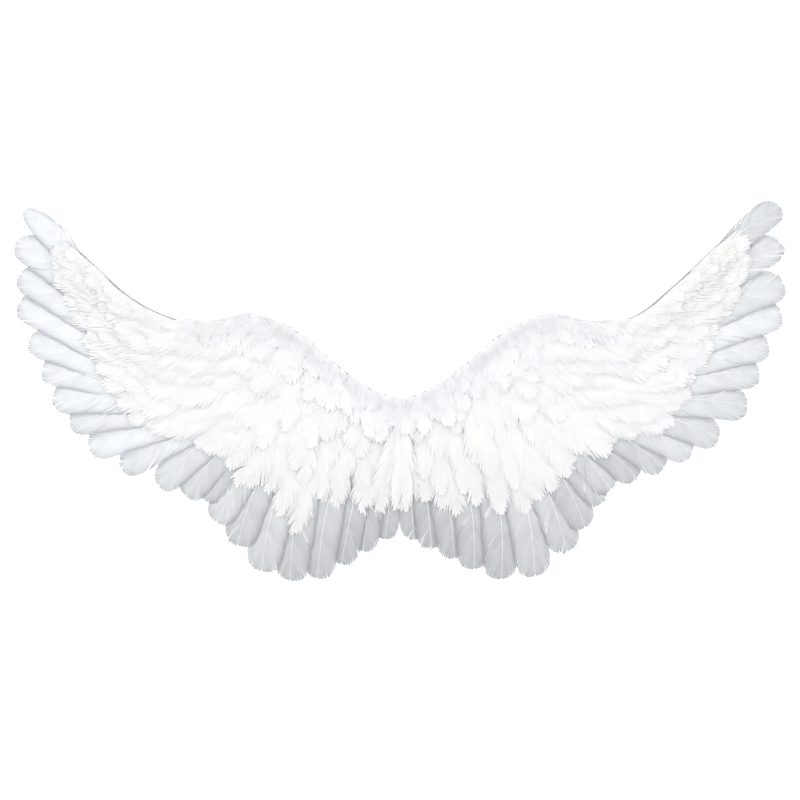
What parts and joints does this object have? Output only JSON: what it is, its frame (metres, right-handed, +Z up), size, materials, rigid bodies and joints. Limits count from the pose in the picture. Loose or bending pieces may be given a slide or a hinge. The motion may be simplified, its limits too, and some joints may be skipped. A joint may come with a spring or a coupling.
{
  "type": "angel wings",
  "caption": "White feather costume wings on a felt backing with a wired leading edge, shingled flight feathers and coverts, and two elastic shoulder loops.",
  "frame": {"origin": "on the rear face of the backing, midway between the wings, where it lies on the wearer's back", "axes": "+X along the span, to the right as the feathered face is seen; +Y out of the rear face towards the wearer; +Z up"},
  "size_m": [1.0071, 0.1508, 0.4997],
  "materials": {
    "felt": "matt needled felt",
    "wire": "wire bound in pale cloth tape",
    "flight_feather": "silky pale grey-white feather",
    "covert_feather": "soft white feather",
    "down": "loose white down",
    "elastic": "ribbed woven elastic"
  },
  "bodies": {
    "root": {"backing": "felt", "frame_wire": "wire", "flight_feather_right_01": "flight_feather", "flight_feather_right_02": "flight_feather", "flight_feather_right_03": "flight_feather", "flight_feather_right_04": "flight_feather", "flight_feather_right_05": "flight_feather", "flight_feather_right_06": "flight_feather", "flight_feather_right_07": "flight_feather", "flight_feather_right_08": "flight_feather", "flight_feather_right_09": "flight_feather", "flight_feather_right_10": "flight_feather", "flight_feather_right_11": "flight_feather", "flight_feather_right_12": "flight_feather", "flight_feather_right_13": "flight_feather", "flight_feather_right_14": "flight_feather", "flight_feather_right_15": "flight_feather", "flight_feather_right_16": "flight_feather", "flight_feather_right_17": "flight_feather", "flight_feather_right_18": "flight_feather", "flight_feather_right_19": "flight_feather", "flight_feather_right_20": "flight_feather", "flight_feather_right_21": "flight_feather", "greater_coverts_right": "covert_feather", "median_coverts_right": "covert_feather", "lesser_coverts_right": "covert_feather", "marginal_coverts_right": "covert_feather", "down_trim_right": "down", "shoulder_loop_right": "elastic", "flight_feather_left_01": "flight_feather", "flight_feather_left_02": "flight_feather", "flight_feather_left_03": "flight_feather", "flight_feather_left_04": "flight_feather", "flight_feather_left_05": "flight_feather", "flight_feather_left_06": "flight_feather", "flight_feather_left_07": "flight_feather", "flight_feather_left_08": "flight_feather", "flight_feather_left_09": "flight_feather", "flight_feather_left_10": "flight_feather", "flight_feather_left_11": "flight_feather", "flight_feather_left_12": "flight_feather", "flight_feather_left_13": "flight_feather", "flight_feather_left_14": "flight_feather", "flight_feather_left_15": "flight_feather", "flight_feather_left_16": "flight_feather", "flight_feather_left_17": "flight_feather", "flight_feather_left_18": "flight_feather", "flight_feather_left_19": "flight_feather", "flight_feather_left_20": "flight_feather", "flight_feather_left_21": "flight_feather", "greater_coverts_left": "covert_feather", "median_coverts_left": "covert_feather", "lesser_coverts_left": "covert_feather", "marginal_coverts_left": "covert_feather", "down_trim_left": "down", "shoulder_loop_left": "elastic", "centre_fan": "covert_feather"}
  },
  "joints": []
}
